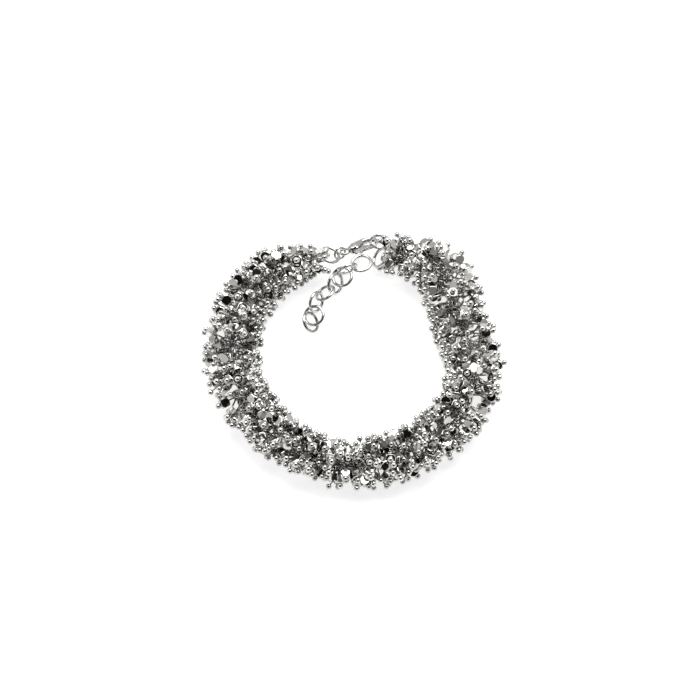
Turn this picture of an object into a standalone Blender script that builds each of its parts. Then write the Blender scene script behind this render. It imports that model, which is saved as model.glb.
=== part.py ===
"""A clustered bracelet, lying closed on a flat surface.

Two halves of a thick band of bead dangles hang on a fine chain. A jump ring and a small
link join one end to a lobster clasp. The clasp hooks into a catch ring on the other end,
and a tail of eight jump rings lies inside the loop as an extension chain.

Metres, +Z up. The origin is on the surface, under the middle of the whole outline.
"""

import math
from collections import namedtuple

import bmesh
import bpy
import numpy as np
from mathutils import Matrix, Vector

# Loop of the band, along its centreline
LOOP_HALF_WIDTH = 0.0298
LOOP_HALF_DEPTH = 0.0303
BAND_CENTRE_HEIGHT = 0.0056

# Band across its length
TIP_RADIUS = 0.0077
TIP_HEIGHT_SHARE = 0.84
CORE_DROP = 0.0026
CORE_FLOOR_GAP = 0.0009
CORE_NOSE_RADIUS = 0.0007
CORE_SIDES = 10
SECTION_PITCH = 0.0044
HALVES_GAP = 0.0003

# Dangles: a head pin with a ball at its tip, and a cornerless cube bead on every second one
DANGLES_PER_HALF = 44
NUGGET_EVERY = 2
SHORTEST_PIN_DROP = 0.12
BALL_RADIUS = 0.00078
PIN_RADIUS = 0.0003
NUGGET_SIZE = 0.0027
NUGGET_CORNER_CUT = 0.00075
NUGGET_BELOW_BALL = 0.0016
DANGLE_END_MARGIN = 0.0052
DANGLE_JOIN_MARGIN = 0.0024
FEET_PER_HALF = 3

# Rings and links: outer diameter and wire thickness
RING_DIAMETER = 0.0056
RING_WIRE = 0.0008
LINK_DIAMETER = 0.0036
LINK_WIRE = 0.0006
END_LOOP_DIAMETER = 0.0038
END_LOOP_WIRE = 0.0008
CHAIN_CLEARANCE = 0.00025
SURFACE_GAP = 0.00005
RING_SEGMENTS = 16
RING_SIDES = 6

# Lobster clasp, lengths from the centre of its eye towards its nose
CLASP_LENGTH = 0.0090
CLASP_THICKNESS = 0.0022
EYE_HOLE_RADIUS = 0.0008
EYE_HEIGHT = 0.0008
EYE_WALL = 0.0006
HOOK_ARM_WIDTH = 0.0011
LEVER_THICKNESS = 0.0008
LEVER_WIDTH = 0.0008
LEVER_CLEARANCE = 0.00015
RIVET_RADIUS = 0.00035
RIVET_CLEARANCE = 0.0001

# Route of the band from the clasp end round to the extension end, as shares of the loop's
# half width and half depth. Its last point is the end loop that the chain leads to.
RoutePoint = namedtuple("RoutePoint", "x y")
ROUTE = (
    RoutePoint(-0.258, 0.900),
    RoutePoint(-0.655, 0.755),
    RoutePoint(-0.925, 0.390),
    RoutePoint(-0.993, -0.045),
    RoutePoint(-0.856, -0.465),
    RoutePoint(-0.510, -0.842),
    RoutePoint(-0.017, -1.010),
    RoutePoint(0.477, -0.898),
    RoutePoint(0.862, -0.551),
    RoutePoint(1.003, -0.132),
    RoutePoint(0.872, 0.327),
    RoutePoint(0.740, 0.765),
    RoutePoint(0.430, 0.915),
)

# How the band swells along its length, as shares of the route and of TIP_RADIUS
Swell = namedtuple("Swell", "along tip")
SWELLS = (
    Swell(0.00, 0.50),
    Swell(0.04, 0.74),
    Swell(0.08, 0.96),
    Swell(0.20, 1.04),
    Swell(0.34, 0.92),
    Swell(0.42, 0.88),
    Swell(0.50, 0.94),
    Swell(0.62, 0.97),
    Swell(0.74, 1.04),
    Swell(0.88, 1.05),
    Swell(0.94, 0.88),
    Swell(1.00, 0.55),
)

# How each ring leads on from the one before it, in degrees: the turn in plan from +X, the rise
# above level, and the roll of the ring's plane about that line from lying flat
Lead = namedtuple("Lead", "turn rise roll")
LEFT_RING_LEAD = Lead(37, -23, 0)
CLASP_LINK_LEAD = Lead(24, -21, -60)
CLASP_LEAD = Lead(33, -20, 0)
RIGHT_RING_LEAD = Lead(-90, 3, -50)
RIGHT_LOOP_LEAD = Lead(-12, 47, 10)
EXTENSION_LEADS = (
    Lead(-164, -6, -10),
    Lead(-158, -4, -78),
    Lead(-124, -16, -5),
    Lead(-128, 8, 60),
    Lead(-136, -8, -35),
    Lead(-127, 9, 65),
    Lead(-100, -16, -15),
    Lead(-110, 12, 45),
)

# The clasp lies along this heading, in degrees from +X, with its near edge raised
CLASP_HEADING = 22
CLASP_LEAN = -25
# The catch ring leads away from the hook at this angle from the clasp's length, and is
# twisted about that line from square to the clasp's flat
CATCH_RING_TURN = -25
CATCH_RING_TWIST = 12

GOLDEN_ANGLE = math.pi * (3 - math.sqrt(5))
UP = Vector((0, 0, 1))

Circle = namedtuple("Circle", "centre normal radius wire")


def clear_scene():
    for old in list(bpy.data.objects):
        bpy.data.objects.remove(old)


def new_collection(name):
    made = bpy.data.collections.new(name)
    bpy.context.scene.collection.children.link(made)
    return made


def new_material(name, colour, roughness):
    made = bpy.data.materials.new(name)
    made.use_nodes = True
    shader = made.node_tree.nodes["Principled BSDF"]
    shader.inputs["Base Color"].default_value = (*colour, 1)
    shader.inputs["Metallic"].default_value = 1.0
    shader.inputs["Roughness"].default_value = roughness
    return made


def new_object(name, mesh, material, collection):
    made = bpy.data.objects.new(name, mesh)
    made.data.materials.append(material)
    collection.objects.link(made)
    return made


def mesh_from(shape, name):
    """The bmesh as a mesh, its faces pointing out and its round stretches smooth."""
    mesh = bpy.data.meshes.new(name)
    bmesh.ops.recalc_face_normals(shape, faces=shape.faces)
    shape.to_mesh(mesh)
    shape.free()
    mesh.shade_smooth()
    mesh.set_sharp_from_angle(angle=math.radians(40))
    return mesh


def as_helper(helper):
    helper.hide_render = True
    helper.display_type = "WIRE"
    return helper


def add_joins(target, helpers):
    step = target.modifiers.new(helpers.name, "BOOLEAN")
    step.operation = "UNION"
    step.solver = "EXACT"
    step.operand_type = "COLLECTION"
    step.collection = helpers


def add_boolean(target, helper, operation):
    step = target.modifiers.new(helper.name, "BOOLEAN")
    step.operation = operation
    step.solver = "EXACT"
    step.use_self = operation == "UNION"
    step.object = as_helper(helper)


def keep_outer_shell(piece):
    """Applies the joins and fills the tiny pockets that they can enclose."""
    graph = bpy.context.evaluated_depsgraph_get()
    joined = bpy.data.meshes.new_from_object(piece.evaluated_get(graph))
    piece.modifiers.clear()
    shape = bmesh.new()
    shape.from_mesh(joined)
    shells = []
    left = set(shape.verts)
    while left:
        shell = {left.pop()}
        front = list(shell)
        while front:
            corner = front.pop()
            near = {edge.other_vert(corner) for edge in corner.link_edges} & left
            front += near
            shell |= near
            left -= near
        shells.append(shell)
    outer = max(shells, key=len)
    for shell in shells:
        if shell is not outer:
            bmesh.ops.delete(shape, geom=list(shell), context="VERTS")
    shape.to_mesh(joined)
    shape.free()
    piece.data = joined


# Chain geometry


def rolled_normal(heading, roll):
    """The normal of a ring whose plane holds the heading, rolled from flat by an angle."""
    side = UP.cross(heading).normalized()
    flat = heading.cross(side).normalized()
    angle = math.radians(roll)
    return flat * math.cos(angle) + side * math.sin(angle)


def circle_points(circle, count=96):
    """Points round the centreline of a ring's wire."""
    first = circle.normal.orthogonal().normalized()
    second = circle.normal.cross(first)
    turns = np.linspace(0, 2 * math.pi, count, endpoint=False)[:, None]
    round_it = np.cos(turns) * np.array(first) + np.sin(turns) * np.array(second)
    return np.array(circle.centre) + circle.radius * round_it


def centreline_gap(first, second):
    """The shortest distance between the wire centrelines of two rings."""
    offsets = circle_points(first) - np.array(second.centre)
    normal = np.array(second.normal)
    height = offsets @ normal
    reach = np.linalg.norm(offsets - np.outer(height, normal), axis=1)
    return float(np.hypot(reach - second.radius, height).min())


def linked_circle(before, heading, normal, radius, wire):
    """A ring linked through the one before it and pulled away until their wires all but touch."""
    need = (before.wire + wire) / 2 + CHAIN_CLEARANCE
    nearest, farthest = max(before.radius, radius), before.radius + radius
    placed = [
        Circle(before.centre + heading * span, normal, radius, wire)
        for span in np.linspace(nearest, farthest, 120)
    ]
    gaps = [centreline_gap(before, circle) for circle in placed]
    clear = [circle for circle, gap in zip(placed, gaps) if gap >= need]
    return clear[-1] if clear else placed[int(np.argmax(gaps))]


def lowest_point(circle):
    dip = math.sqrt(max(0, 1 - circle.normal.z**2))
    return circle.centre.z - circle.radius * dip - circle.wire / 2


def way_of(lead):
    turn, rise = math.radians(lead.turn), math.radians(lead.rise)
    level = math.cos(rise)
    return Vector((level * math.cos(turn), level * math.sin(turn), math.sin(rise)))


def led_circle(before, lead, diameter, wire):
    """The next ring along its lead, which is raised until the ring clears the surface."""
    heading = way_of(lead)
    for _ in range(12):
        normal = rolled_normal(heading, lead.roll)
        circle = linked_circle(before, heading, normal, (diameter - wire) / 2, wire)
        step = circle.centre - before.centre
        step.z += max(0, SURFACE_GAP - lowest_point(circle))
        heading = step.normalized()
    return circle


def add_ring(name, circle, material, collection):
    bpy.ops.mesh.primitive_torus_add(
        major_segments=RING_SEGMENTS,
        minor_segments=RING_SIDES,
        major_radius=circle.radius,
        minor_radius=circle.wire / 2,
        location=circle.centre,
        rotation=circle.normal.to_track_quat("Z", "X").to_euler(),
    )
    ring = bpy.context.object
    ring.name = name
    ring.data.name = name
    ring.data.shade_smooth()
    ring.data.materials.append(material)
    for owner in list(ring.users_collection):
        owner.objects.unlink(ring)
    collection.objects.link(ring)
    return ring


# Route of the band


class Path:
    """A smooth open curve through points, measured along its length."""

    def __init__(self, points, steps=24):
        knots = [2 * points[0] - points[1], *points, 2 * points[-1] - points[-2]]
        self.points = []
        for a, b, c, d in zip(knots, knots[1:], knots[2:], knots[3:]):
            for step in range(steps):
                t = step / steps
                bend = (2 * a - 5 * b + 4 * c - d) * t * t + (3 * b - a - 3 * c + d) * t**3
                self.points.append(b + ((c - a) * t + bend) / 2)
        self.points.append(points[-1])
        spans = [(q - p).length for p, q in zip(self.points, self.points[1:])]
        self.lengths = np.concatenate([[0], np.cumsum(spans)])
        self.length = float(self.lengths[-1])

    def at(self, distance):
        return Vector(
            [np.interp(distance, self.lengths, [p[axis] for p in self.points]) for axis in range(3)]
        )

    def heading(self, distance):
        step = self.length / 200
        ahead = self.at(min(distance + step, self.length))
        behind = self.at(max(distance - step, 0))
        return (ahead - behind).normalized()

    def side(self, distance):
        return UP.cross(self.heading(distance)).normalized()


def tip_radius(share):
    along = [swell.along for swell in SWELLS]
    return TIP_RADIUS * float(np.interp(share, along, [swell.tip for swell in SWELLS]))


def across_band(path, distance, angle, radius, lowest):
    """A point on the band's oval section, kept above the surface that the bracelet lies on."""
    out = path.side(distance) * math.cos(angle) * radius
    rise = UP * math.sin(angle) * radius * TIP_HEIGHT_SHARE
    point = path.at(distance) + out + rise
    point.z = max(point.z, lowest)
    return point


# Band halves


def core_shape(path, start, end, nose_at_start):
    """The packed middle of the band: a loft through oval sections, with a nose at its chain end."""
    shape = bmesh.new()
    count = max(4, round((end - start) / SECTION_PITCH))
    rings = []
    for index in range(count + 1):
        distance = start + (end - start) * index / count
        radius = max(tip_radius(distance / path.length) - CORE_DROP, CORE_NOSE_RADIUS)
        if index == (0 if nose_at_start else count):
            radius = CORE_NOSE_RADIUS
        turns = [2 * math.pi * (side + index % 2 / 2) / CORE_SIDES for side in range(CORE_SIDES)]
        section = [across_band(path, distance, turn, radius, CORE_FLOOR_GAP) for turn in turns]
        rings.append([shape.verts.new(point) for point in section])
    for ring, following in zip(rings, rings[1:]):
        for side in range(CORE_SIDES):
            after = (side + 1) % CORE_SIDES
            shape.faces.new((ring[side], ring[after], following[after], following[side]))
    shape.faces.new(reversed(rings[0]))
    shape.faces.new(rings[-1])
    return shape


def ball_shape(centre, radius):
    shape = bmesh.new()
    bmesh.ops.create_icosphere(
        shape, subdivisions=2, radius=radius, matrix=Matrix.Translation(centre)
    )
    return shape


def pin_shape(root, tip):
    shape = bmesh.new()
    line = tip - root
    turn = line.to_track_quat("Z", "X").to_matrix().to_4x4()
    bmesh.ops.create_cone(
        shape,
        cap_ends=True,
        segments=5,
        radius1=PIN_RADIUS,
        radius2=PIN_RADIUS,
        depth=line.length,
        matrix=Matrix.Translation((root + tip) / 2) @ turn,
    )
    return shape


def nugget_shape(centre, axis):
    """A cube bead with its eight corners cut off, threaded along an axis."""
    shape = bmesh.new()
    turn = axis.to_track_quat("Z", "X").to_matrix().to_4x4()
    cube = bmesh.ops.create_cube(
        shape, size=NUGGET_SIZE, matrix=Matrix.Translation(centre) @ turn
    )
    bmesh.ops.bevel(
        shape,
        geom=cube["verts"],
        offset=NUGGET_CORNER_CUT,
        affect="VERTICES",
        segments=1,
        profile=0.5,
    )
    return shape


def dangle_shapes(path, start, end):
    """Head pins fanned round the band, each with its ball and some with a nugget."""
    shapes = []
    for index in range(DANGLES_PER_HALF):
        distance = start + (end - start) * (index + 0.5) / DANGLES_PER_HALF
        turn = index * GOLDEN_ANGLE
        holds_nugget = index % NUGGET_EVERY == 0
        reach = tip_radius(distance / path.length)
        if not holds_nugget:
            reach *= 1 - SHORTEST_PIN_DROP * (0.5 + 0.5 * math.cos(index * 2.1))
        tip = across_band(path, distance, turn, reach - BALL_RADIUS, BALL_RADIUS)
        middle = path.at(distance)
        outward = (tip - middle).normalized()
        shapes.append(ball_shape(tip, BALL_RADIUS))
        if holds_nugget and outward.z > -0.35:
            shapes.append(nugget_shape(tip - outward * NUGGET_BELOW_BALL, outward))
        else:
            shapes.append(pin_shape(middle + (tip - middle) * 0.3, tip))
    for index in range(FEET_PER_HALF):
        distance = start + (end - start) * (index + 0.5) / FEET_PER_HALF
        foot = path.at(distance)
        foot.z = NUGGET_SIZE / 2
        shapes.append(nugget_shape(foot, UP))
    return shapes


def end_loop_shape(circle):
    """The last link of the core chain, which the jump ring passes through."""
    shape = bmesh.new()
    bpy.ops.mesh.primitive_torus_add(
        major_segments=12,
        minor_segments=RING_SIDES,
        major_radius=circle.radius,
        minor_radius=circle.wire / 2,
        location=circle.centre,
        rotation=circle.normal.to_track_quat("Z", "X").to_euler(),
    )
    torus = bpy.context.object
    shape.from_mesh(torus.data)
    shape.transform(torus.matrix_world)
    bpy.data.meshes.remove(torus.data)
    return shape


def add_half(name, path, loop, at_start, material, collection, helpers):
    """One half of the band, from its end loop to the front of the loop."""
    nose = loop.radius
    middle = path.length / 2
    if at_start:
        start, end = nose, middle - HALVES_GAP / 2
        first, last = DANGLE_END_MARGIN, end - DANGLE_JOIN_MARGIN
    else:
        start, end = middle + HALVES_GAP / 2, path.length - nose
        first, last = start + DANGLE_JOIN_MARGIN, path.length - DANGLE_END_MARGIN
    core = mesh_from(core_shape(path, start, end, at_start), name)
    half = new_object(name, core, material, collection)
    joins = bpy.data.collections.new(name + "_joins")
    helpers.children.link(joins)
    for shape in [*dangle_shapes(path, first, last), end_loop_shape(loop)]:
        as_helper(new_object(name + "_join", mesh_from(shape, name + "_join"), material, joins))
    add_joins(half, joins)
    keep_outer_shell(half)


# Lobster clasp

ClaspPoint = namedtuple("ClaspPoint", "along across width")
# Middle line of the claw from behind its eye, over the back and round the nose to the tip,
# as shares of the clasp's length, with its width as a share of HOOK_ARM_WIDTH
CLAW = (
    ClaspPoint(0.12, 0.00, 1.30),
    ClaspPoint(0.20, 0.00, 2.10),
    ClaspPoint(0.30, 0.02, 2.80),
    ClaspPoint(0.42, 0.08, 2.30),
    ClaspPoint(0.56, 0.15, 1.50),
    ClaspPoint(0.72, 0.16, 1.20),
    ClaspPoint(0.86, 0.11, 1.00),
    ClaspPoint(0.93, 0.01, 1.00),
    ClaspPoint(0.92, -0.08, 0.90),
    ClaspPoint(0.88, -0.14, 0.75),
)
PIVOT = (0.30, -0.06)
LEVER_TIP = (0.80, -0.19)
THUMB_TAB = (0.40, -0.24)


def clasp_matrix(eye):
    """From the clasp's own axes, eye at the origin, length along X and flat in XY, to its place."""
    heading = Matrix.Rotation(math.radians(CLASP_HEADING), 4, "Z")
    lean = Matrix.Rotation(math.radians(CLASP_LEAN), 4, "X")
    return Matrix.Translation(eye) @ heading @ lean


def in_clasp(share):
    return Vector((share[0] * CLASP_LENGTH, share[1] * CLASP_LENGTH, 0))


def tube_object(name, points, radii, depth, collection):
    """A smooth tube through points, as a mesh with its end caps welded on."""
    curve = bpy.data.curves.new(name, "CURVE")
    curve.dimensions = "3D"
    curve.bevel_depth = depth
    curve.bevel_resolution = 2
    curve.resolution_u = 3
    curve.use_fill_caps = True
    spline = curve.splines.new("BEZIER")
    spline.bezier_points.add(len(points) - 1)
    for knot, point, radius in zip(spline.bezier_points, points, radii):
        knot.co = point
        knot.radius = radius
        knot.handle_left_type = knot.handle_right_type = "AUTO"
    drawn = bpy.data.objects.new(name, curve)
    collection.objects.link(drawn)
    graph = bpy.context.evaluated_depsgraph_get()
    mesh = bpy.data.meshes.new_from_object(drawn.evaluated_get(graph))
    bpy.data.objects.remove(drawn)
    shape = bmesh.new()
    shape.from_mesh(mesh)
    bmesh.ops.remove_doubles(shape, verts=shape.verts, dist=1e-6)
    bpy.data.meshes.remove(mesh)
    return shape


def flat_outline(name, outline, thickness, collection):
    """A flat plate with the outline, as a bmesh."""
    curve = bpy.data.curves.new(name, "CURVE")
    curve.dimensions = "2D"
    curve.fill_mode = "BOTH"
    curve.extrude = thickness / 2
    spline = curve.splines.new("POLY")
    spline.points.add(len(outline) - 1)
    for knot, point in zip(spline.points, outline):
        knot.co = (point[0], point[1], 0, 1)
    spline.use_cyclic_u = True
    drawn = bpy.data.objects.new(name, curve)
    collection.objects.link(drawn)
    graph = bpy.context.evaluated_depsgraph_get()
    mesh = bpy.data.meshes.new_from_object(drawn.evaluated_get(graph))
    bpy.data.objects.remove(drawn)
    shape = bmesh.new()
    shape.from_mesh(mesh)
    bmesh.ops.remove_doubles(shape, verts=shape.verts, dist=1e-6)
    bpy.data.meshes.remove(mesh)
    return shape


def cylinder_shape(centre, radius, depth, segments):
    shape = bmesh.new()
    bmesh.ops.create_cone(
        shape,
        cap_ends=True,
        segments=segments,
        radius1=radius,
        radius2=radius,
        depth=depth,
        matrix=Matrix.Translation(centre),
    )
    return shape


def box_shape(low, high):
    shape = bmesh.new()
    size = high - low
    place = Matrix.Translation((low + high) / 2) @ Matrix.Diagonal((*size, 1))
    bmesh.ops.create_cube(shape, size=1, matrix=place)
    return shape


def lever_outline():
    """A slim bar from round the pivot to its tip, with a thumb tab beside the pivot."""
    pivot, tip, tab = in_clasp(PIVOT), in_clasp(LEVER_TIP), in_clasp(THUMB_TAB)
    half = LEVER_WIDTH / 2
    boss = RIVET_RADIUS + RIVET_CLEARANCE + half * 0.9
    outline = []
    for step in range(9):
        turn = math.radians(60 + 22.5 * step)
        outline.append(pivot + Vector((math.cos(turn), math.sin(turn), 0)) * boss)
    for step in range(7):
        turn = math.radians(-170 + 30 * step)
        outline.append(tab + Vector((math.cos(turn), math.sin(turn), 0)) * half)
    outline.append(tip + Vector((0, -half, 0)))
    outline.append(tip + Vector((half * 0.4, 0, 0)))
    outline.append(tip + Vector((0, half * 0.8, 0)))
    return outline


def add_clasp(matrix, material, collection, helpers):
    claw_points = [in_clasp((point.along, point.across)) for point in CLAW]
    claw_widths = [point.width for point in CLAW]
    claw = tube_object("claw", claw_points, claw_widths, HOOK_ARM_WIDTH / 2, helpers)
    pivot = in_clasp(PIVOT)
    for corner in claw.verts:
        corner.co.z = max(-CLASP_THICKNESS / 2, min(CLASP_THICKNESS / 2, corner.co.z * 1.6))
    body = new_object("clasp_body", mesh_from(claw, "clasp_body"), material, collection)

    eye = cylinder_shape(Vector(), EYE_HOLE_RADIUS + EYE_WALL, EYE_HEIGHT, 16)
    eye = new_object("clasp_eye", mesh_from(eye, "clasp_eye"), material, helpers)
    add_boolean(body, eye, "UNION")

    hole = cylinder_shape(Vector(), EYE_HOLE_RADIUS, CLASP_THICKNESS * 2, 16)
    hole = new_object("clasp_eye_hole", mesh_from(hole, "clasp_eye_hole"), material, helpers)
    add_boolean(body, hole, "DIFFERENCE")

    slot_half = LEVER_THICKNESS / 2 + LEVER_CLEARANCE
    boss = RIVET_RADIUS + RIVET_CLEARANCE + LEVER_WIDTH / 2 + LEVER_CLEARANCE
    low = pivot + Vector((-boss, -CLASP_LENGTH / 3, -slot_half))
    high = pivot + Vector((CLASP_LENGTH * 0.3, boss, slot_half))
    slot = new_object("clasp_slot", mesh_from(box_shape(low, high), "slot"), material, helpers)
    add_boolean(body, slot, "DIFFERENCE")

    bore = cylinder_shape(pivot, RIVET_RADIUS + RIVET_CLEARANCE, CLASP_THICKNESS * 2, 12)
    bore = new_object("clasp_bore", mesh_from(bore, "clasp_bore"), material, helpers)
    add_boolean(body, bore, "DIFFERENCE")

    plate = flat_outline("lever", lever_outline(), LEVER_THICKNESS, helpers)
    lever = new_object("clasp_lever", mesh_from(plate, "clasp_lever"), material, collection)
    add_boolean(lever, bore, "DIFFERENCE")

    pin = cylinder_shape(pivot, RIVET_RADIUS, CLASP_THICKNESS, 10)
    rivet = new_object("clasp_rivet", mesh_from(pin, "clasp_rivet"), material, collection)

    for piece in (body, lever, rivet, eye, hole, slot, bore):
        piece.matrix_world = matrix
    return body


def catch_circle(matrix):
    """The ring held by the clasp: its wire runs through the hook, beside the nose."""
    nose = in_clasp((CLAW[7].along, CLAW[7].across))
    inside = (HOOK_ARM_WIDTH + RING_WIRE) / 2 + 2 * CHAIN_CLEARANCE
    seat = matrix @ (nose - Vector((inside, 0, 0)))
    turn = math.radians(CATCH_RING_TURN)
    outward = (matrix.to_3x3() @ Vector((math.cos(turn), math.sin(turn), 0))).normalized()
    flat = (matrix.to_3x3() @ UP).normalized()
    normal = Matrix.Rotation(math.radians(CATCH_RING_TWIST), 3, outward) @ flat.cross(outward)
    radius = (RING_DIAMETER - RING_WIRE) / 2
    return Circle(seat + outward * radius, normal.normalized(), radius, RING_WIRE)


def centre_on_origin(pieces):
    """Moves everything so that the origin is under the middle of the pieces' common box."""
    graph = bpy.context.evaluated_depsgraph_get()
    corners = []
    for piece in pieces.objects:
        drawn = piece.evaluated_get(graph)
        corners += [drawn.matrix_world @ vertex.co for vertex in drawn.data.vertices]
    low = np.min(corners, axis=0)
    high = np.max(corners, axis=0)
    shift = Vector((-(low[0] + high[0]) / 2, -(low[1] + high[1]) / 2, -low[2]))
    for every in bpy.data.objects:
        every.location += shift


def main():
    clear_scene()
    pieces = new_collection("clustered_bracelet")
    helpers = new_collection("helpers")
    bright = new_material("bright_silver", (0.80, 0.79, 0.77), 0.16)
    beads = new_material("silver_beads", (0.74, 0.73, 0.71), 0.20)

    band_points = [
        Vector((share.x * LOOP_HALF_WIDTH, share.y * LOOP_HALF_DEPTH, BAND_CENTRE_HEIGHT))
        for share in ROUTE
    ]
    start_heading = (band_points[0] - band_points[1]).normalized()
    left_loop = Circle(
        band_points[0],
        rolled_normal(start_heading, 75),
        (END_LOOP_DIAMETER - END_LOOP_WIRE) / 2,
        END_LOOP_WIRE,
    )

    left_ring = led_circle(left_loop, LEFT_RING_LEAD, RING_DIAMETER, RING_WIRE)
    clasp_link = led_circle(left_ring, CLASP_LINK_LEAD, LINK_DIAMETER, LINK_WIRE)

    upright = clasp_matrix(Vector()).to_3x3()
    eye = linked_circle(
        clasp_link,
        way_of(CLASP_LEAD),
        upright @ UP,
        EYE_HOLE_RADIUS + EYE_WALL / 2,
        math.hypot(EYE_WALL, EYE_HEIGHT),
    )
    clasp_place = clasp_matrix(eye.centre)
    catch_ring = catch_circle(clasp_place)
    right_ring = led_circle(catch_ring, RIGHT_RING_LEAD, RING_DIAMETER, RING_WIRE)
    right_loop = led_circle(right_ring, RIGHT_LOOP_LEAD, END_LOOP_DIAMETER, END_LOOP_WIRE)

    path = Path([*band_points, right_loop.centre])
    add_half("cluster_left", path, left_loop, True, beads, pieces, helpers)
    add_half("cluster_right", path, right_loop, False, beads, pieces, helpers)

    add_ring("end_ring_left", left_ring, bright, pieces)
    add_ring("clasp_link", clasp_link, bright, pieces)
    add_clasp(clasp_place, bright, pieces, helpers)
    add_ring("catch_ring", catch_ring, bright, pieces)
    add_ring("end_ring_right", right_ring, bright, pieces)
    before = right_ring
    for number, lead in enumerate(EXTENSION_LEADS, 1):
        before = led_circle(before, lead, RING_DIAMETER, RING_WIRE)
        add_ring(f"extension_ring_{number}", before, bright, pieces)
    centre_on_origin(pieces)


main()
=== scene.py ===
"""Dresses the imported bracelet: loose ball-tipped pins and faceted beads on a core chain, round
wire rings and a cast lobster clasp, on a white surface under soft studio light.

Metres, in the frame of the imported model.
"""

import math
from collections import namedtuple

import bmesh
import bpy
import numpy as np
from mathutils import Matrix, Quaternion, Vector


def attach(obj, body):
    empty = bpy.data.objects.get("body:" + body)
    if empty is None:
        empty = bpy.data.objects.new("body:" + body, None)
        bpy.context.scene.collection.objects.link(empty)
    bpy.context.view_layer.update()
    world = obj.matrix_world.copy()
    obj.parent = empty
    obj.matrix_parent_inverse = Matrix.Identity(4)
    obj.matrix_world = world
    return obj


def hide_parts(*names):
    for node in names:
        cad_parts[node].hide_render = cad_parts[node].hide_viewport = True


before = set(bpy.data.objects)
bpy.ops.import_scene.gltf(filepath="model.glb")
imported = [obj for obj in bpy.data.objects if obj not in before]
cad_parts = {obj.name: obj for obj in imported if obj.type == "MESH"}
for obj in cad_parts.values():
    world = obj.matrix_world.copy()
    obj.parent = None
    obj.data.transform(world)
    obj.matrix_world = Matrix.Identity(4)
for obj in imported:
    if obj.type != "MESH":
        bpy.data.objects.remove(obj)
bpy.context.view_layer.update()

# The band
LOOP_HALF_WIDTH = 0.0298
LOOP_HALF_DEPTH = 0.0303
BAND_CENTRE_HEIGHT = 0.0056
TIP_RADIUS = 0.0077
TIP_HEIGHT_SHARE = 0.84
PINS_PER_HALF = 360
FIRST_PIN_AFTER_START = 0.0012
LAST_PIN_BEFORE_END = 0.0014
LEFT_SEED = 11
RIGHT_SEED = 12

# A head pin and what is threaded on it
BALL_RADIUS = 0.00075
WIRE_RADIUS = 0.00021
EYE_RADIUS = 0.00078
NUGGET_WIDTH = 0.0023
NUGGET_CORNER_CUT = 0.00064
NUGGET_SOFT_EDGE = 0.00009
NUGGET_BEHIND_BALL = BALL_RADIUS * 0.8 + NUGGET_WIDTH * 0.5
NUGGET_SHARE = 0.56
SHORTEST_PIN = 0.0030
LONGEST_PIN = 0.0075

# How much the beads differ in size
SMALLEST_SIZE = 0.94
SIZE_RANGE = 0.12

# How the pins fall. Reach is a share of the band's own radius at that place.
PIN_REACH = (0.72, 1.0)
NUGGET_PIN_REACH = (0.74, 0.95)
PULL_TO_SIDES = 0.36
LEAN_SPREAD = 0.26
END_LEAN = 0.6
ROOT_OUT_SHARE = 0.16
ROOT_OUT_SPREAD = 0.00055
ROOT_UP_SHARE = 0.40
ROOT_UP_SPREAD = 0.00045

# How the beads settle against each other, the rings and the surface
SETTLING_STEPS = 70
PUSH_SHARE = 0.4
BALL_KEEP_OUT = BALL_RADIUS * 1.03
NUGGET_KEEP_OUT = NUGGET_WIDTH * 0.53
RING_KEEP_OUT = 0.00045
LOWEST_NUGGET_CENTRE = NUGGET_WIDTH * 0.64

# The core chain
LINK_LENGTH = 0.0036
LINK_WIDTH = 0.0026
LINK_WIRE_RADIUS = 0.00032
LINK_PITCH = LINK_LENGTH - 4.5 * LINK_WIRE_RADIUS
FIRST_LINK_AFTER_START = 0.0006
CHAIN_END_MARGIN = 0.001
FIRST_LINK_ROLL = 0.4
SHADE_CYCLES = 7

# Rings and end loops, angles in degrees and seam turns in radians
RING_SEAM = 2.0
RING_SECTIONS = 60
RING_SIDES = 16
FIRST_SEAM_TURN = 0.7
SEAM_TURN_STEP = 2.4
END_LOOP_SEAM_TURN = 1.9
END_LOOP_DIAMETER = 0.0038
END_LOOP_WIRE = 0.0008
LEFT_LOOP_ROLL = 75
RIGHT_LOOP_TURN = -12
RIGHT_LOOP_RISE = 47
RIGHT_LOOP_ROLL = 10

# Clasp, angles in degrees
CLASP_LENGTH = 0.0090
CLASP_THICKNESS = 0.0022
EYE_HOLE_RADIUS = 0.0008
EYE_WALL = 0.0006
EYE_HEIGHT = 0.0008
HOOK_ARM_WIDTH = 0.0011
LEVER_THICKNESS = 0.0008
LEVER_WIDTH = 0.0008
LEVER_CLEARANCE = 0.00015
RIVET_RADIUS = 0.00035
RIVET_CLEARANCE = 0.0001
CLASP_HEADING = 22
CLASP_LEAN = -25

UP = Vector((0, 0, 1))
SHARP_ANGLE = math.radians(40)
CAST_SHADE = 0.6


# Shader maths


class Shade:
    """A node socket that takes Python's arithmetic."""

    def __init__(self, tree, socket):
        self.tree = tree
        self.socket = socket

    def _maths(self, operation, first, second):
        return node(self.tree, "ShaderNodeMath", {"operation": operation}, {0: first, 1: second})

    def __add__(self, other):
        return self._maths("ADD", self, other)

    def __radd__(self, other):
        return self._maths("ADD", other, self)

    def __sub__(self, other):
        return self._maths("SUBTRACT", self, other)

    def __rsub__(self, other):
        return self._maths("SUBTRACT", other, self)

    def __mul__(self, other):
        return self._maths("MULTIPLY", self, other)

    def __rmul__(self, other):
        return self._maths("MULTIPLY", other, self)


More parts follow.
